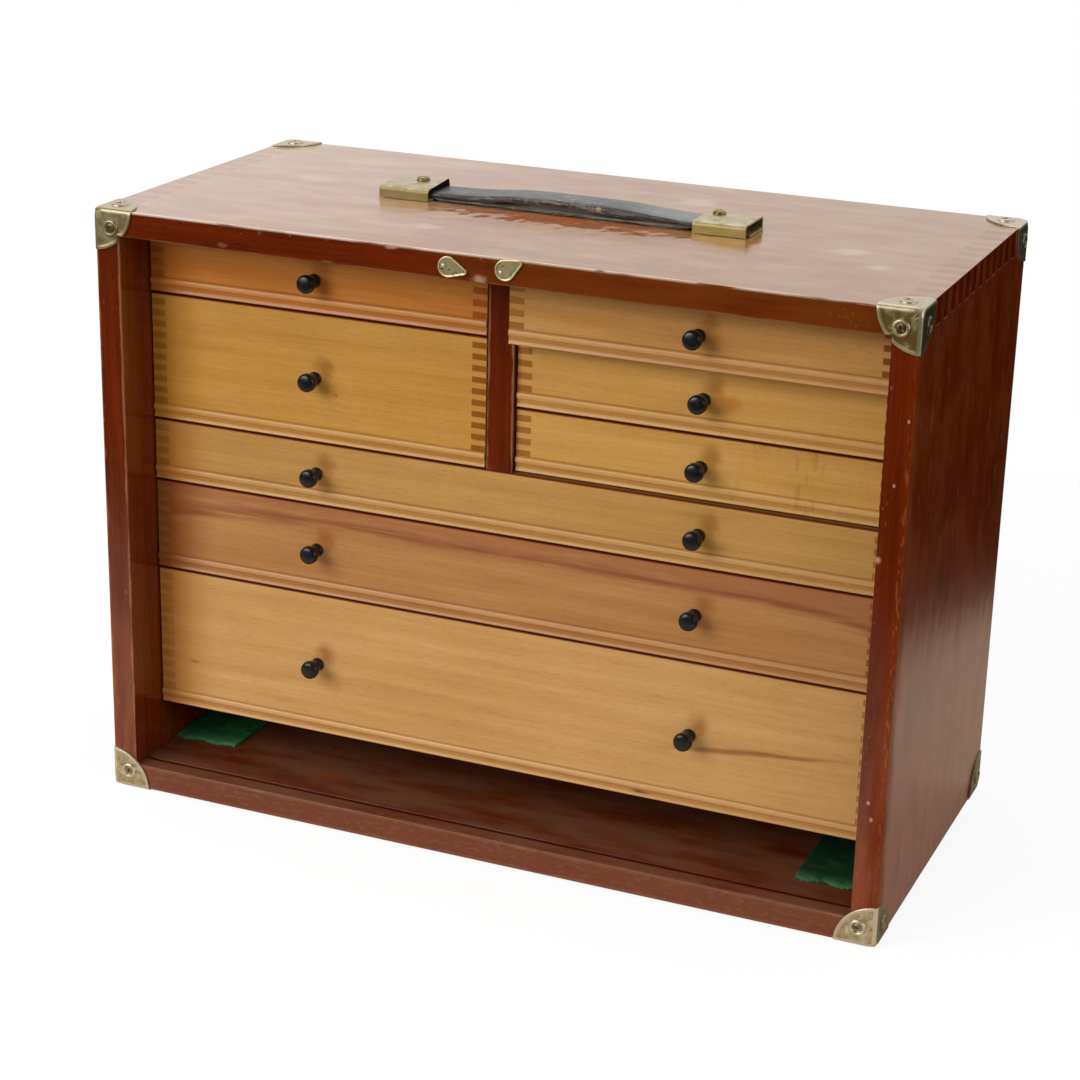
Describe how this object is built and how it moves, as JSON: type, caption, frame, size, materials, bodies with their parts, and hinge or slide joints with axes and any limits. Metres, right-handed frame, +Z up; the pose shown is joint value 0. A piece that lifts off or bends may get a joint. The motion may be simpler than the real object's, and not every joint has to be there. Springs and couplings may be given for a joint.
{
  "type": "watchmaker's tool chest",
  "caption": "Open-fronted wooden tool chest with comb-jointed carcass and drawers, black knobs, brass corner caps and a leather strap handle on top.",
  "frame": {"origin": "on the floor under the middle of the chest", "axes": "+X to the right seen from the front, -Y towards the front, +Z up"},
  "size_m": [0.5104, 0.2454, 0.3865],
  "materials": {
    "mahogany": "red-brown stained and varnished, worn at the edges",
    "drawer_wood": "honey-coloured, oiled, satin",
    "plywood": "bare plywood",
    "brass": "aged, tarnished in patches",
    "knob_black": "black, glossy, turned shape",
    "leather": "black, cracked and worn",
    "felt": "green felt, frayed front edge"
  },
  "bodies": {
    "carcass": {"top_board": "mahogany", "bottom_board": "mahogany", "left_side": "mahogany", "right_side": "mahogany", "back_panel": "mahogany", "centre_divider": "mahogany", "cap_top_front_left": "brass", "cap_top_front_right": "brass", "cap_top_back_left": "brass", "cap_top_back_right": "brass", "cap_bottom_front_left": "brass", "cap_bottom_front_right": "brass", "cap_bottom_back_left": "brass", "cap_bottom_back_right": "brass", "handle_bracket_left": "brass", "handle_bracket_right": "brass", "felt_left": "felt", "felt_right": "felt"},
    "drawer_left_upper": {"left_upper_front": "drawer_wood", "left_upper_box": "drawer_wood", "left_upper_bottom": "plywood", "left_upper_knob": "knob_black"},
    "drawer_left_deep": {"left_deep_front": "drawer_wood", "left_deep_box": "drawer_wood", "left_deep_bottom": "plywood", "left_deep_knob": "knob_black"},
    "drawer_right_upper": {"right_upper_front": "drawer_wood", "right_upper_box": "drawer_wood", "right_upper_bottom": "plywood", "right_upper_knob": "knob_black"},
    "drawer_right_middle": {"right_middle_front": "drawer_wood", "right_middle_box": "drawer_wood", "right_middle_bottom": "plywood", "right_middle_knob": "knob_black"},
    "drawer_right_lower": {"right_lower_front": "drawer_wood", "right_lower_box": "drawer_wood", "right_lower_bottom": "plywood", "right_lower_knob": "knob_black"},
    "drawer_full_upper": {"full_upper_front": "drawer_wood", "full_upper_box": "drawer_wood", "full_upper_bottom": "plywood", "full_upper_knob_left": "knob_black", "full_upper_knob_right": "knob_black"},
    "drawer_full_middle": {"full_middle_front": "drawer_wood", "full_middle_box": "drawer_wood", "full_middle_bottom": "plywood", "full_middle_knob_left": "knob_black", "full_middle_knob_right": "knob_black"},
    "drawer_full_lower": {"full_lower_front": "drawer_wood", "full_lower_box": "drawer_wood", "full_lower_bottom": "plywood", "full_lower_knob_left": "knob_black", "full_lower_knob_right": "knob_black"},
    "handle_grip": {"handle_grip": "leather"},
    "handle_tail_left": {"handle_tail_left": "leather"},
    "handle_end_left": {"handle_end_left": "brass"},
    "handle_tail_right": {"handle_tail_right": "leather"},
    "handle_end_right": {"handle_end_right": "brass"},
    "turn_plate_left": {"turn_plate_left": "brass"},
    "turn_plate_right": {"turn_plate_right": "brass"}
  },
  "joints": [
    {"name": "left_upper_slide", "type": "slide", "parent": "carcass", "child": "drawer_left_upper", "axis": [0, -1, 0], "range_m": [-0.0035, 0.1465]},
    {"name": "left_deep_slide", "type": "slide", "parent": "carcass", "child": "drawer_left_deep", "axis": [0, -1, 0], "range_m": [-0.0035, 0.1465]},
    {"name": "right_upper_slide", "type": "slide", "parent": "carcass", "child": "drawer_right_upper", "axis": [0, -1, 0], "range_m": [-0.0137, 0.1363]},
    {"name": "right_middle_slide", "type": "slide", "parent": "carcass", "child": "drawer_right_middle", "axis": [0, -1, 0], "range_m": [0, 0.15]},
    {"name": "right_lower_slide", "type": "slide", "parent": "carcass", "child": "drawer_right_lower", "axis": [0, -1, 0], "range_m": [0, 0.15]},
    {"name": "full_upper_slide", "type": "slide", "parent": "carcass", "child": "drawer_full_upper", "axis": [0, -1, 0], "range_m": [-0.0035, 0.1465]},
    {"name": "full_middle_slide", "type": "slide", "parent": "carcass", "child": "drawer_full_middle", "axis": [0, -1, 0], "range_m": [-0.0035, 0.1465]},
    {"name": "full_lower_slide", "type": "slide", "parent": "carcass", "child": "drawer_full_lower", "axis": [0, -1, 0], "range_m": [-0.0035, 0.1465]},
    {"name": "handle_lift", "type": "slide", "parent": "carcass", "child": "handle_grip", "axis": [0, 0, 1], "range_m": [0, 0.016]},
    {"name": "handle_tail_left_bend", "type": "hinge", "parent": "handle_grip", "child": "handle_tail_left", "pos_m": [-0.0509, 0.0054, 0.3777], "axis": [0, -1, 0], "range_deg": [0, 27.26]},
    {"name": "handle_end_left_bend", "type": "hinge", "parent": "handle_tail_left", "child": "handle_end_left", "pos_m": [-0.0849, 0.0054, 0.3795], "axis": [0, 1, 0], "range_deg": [0, 27.26]},
    {"name": "handle_tail_right_bend", "type": "hinge", "parent": "handle_grip", "child": "handle_tail_right", "pos_m": [0.0491, 0.0054, 0.3777], "axis": [0, 1, 0], "range_deg": [0, 27.26]},
    {"name": "handle_end_right_bend", "type": "hinge", "parent": "handle_tail_right", "child": "handle_end_right", "pos_m": [0.0831, 0.0054, 0.3795], "axis": [0, -1, 0], "range_deg": [0, 27.26]},
    {"name": "turn_plate_left_swivel", "type": "hinge", "parent": "carcass", "child": "turn_plate_left", "pos_m": [-0.0238, -0.12105, 0.3693], "axis": [0, 1, 0], "range_deg": [-11, 169]},
    {"name": "turn_plate_right_swivel", "type": "hinge", "parent": "carcass", "child": "turn_plate_right", "pos_m": [0.0117, -0.12105, 0.3693], "axis": [0, 1, 0], "range_deg": [-20, 210]}
  ],
  "couplings": [
    {"joint": "handle_tail_left_bend", "follows": "handle_lift", "rad_per_m": 29.412},
    {"joint": "handle_end_left_bend", "follows": "handle_lift", "rad_per_m": 29.412},
    {"joint": "handle_tail_right_bend", "follows": "handle_lift", "rad_per_m": 29.412},
    {"joint": "handle_end_right_bend", "follows": "handle_lift", "rad_per_m": 29.412}
  ]
}
